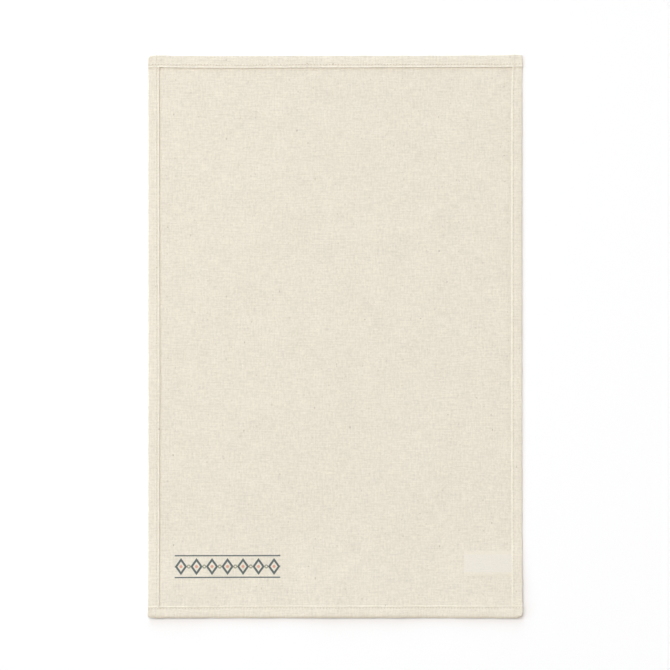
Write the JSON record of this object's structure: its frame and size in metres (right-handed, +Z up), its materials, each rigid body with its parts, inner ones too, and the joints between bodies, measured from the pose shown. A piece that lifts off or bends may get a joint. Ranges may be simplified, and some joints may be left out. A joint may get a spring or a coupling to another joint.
{
  "type": "tea towel",
  "caption": "Flat rectangular tea towel of natural linen-look cotton, hemmed on all sides, with a small blank label caught in one side hem.",
  "frame": {"origin": "centre of the towel's outline, on its flat underside", "axes": "+X towards the towel's right edge, which holds the label, +Y along its length towards its top edge, +Z up out of its face"},
  "size_m": [0.5078, 0.7642, 0.0029],
  "materials": {
    "natural_cotton": "matte",
    "label_tape": "matte",
    "sewing_thread": "satin"
  },
  "bodies": {
    "root": {"cloth": "natural_cotton", "label": "label_tape"}
  },
  "joints": []
}
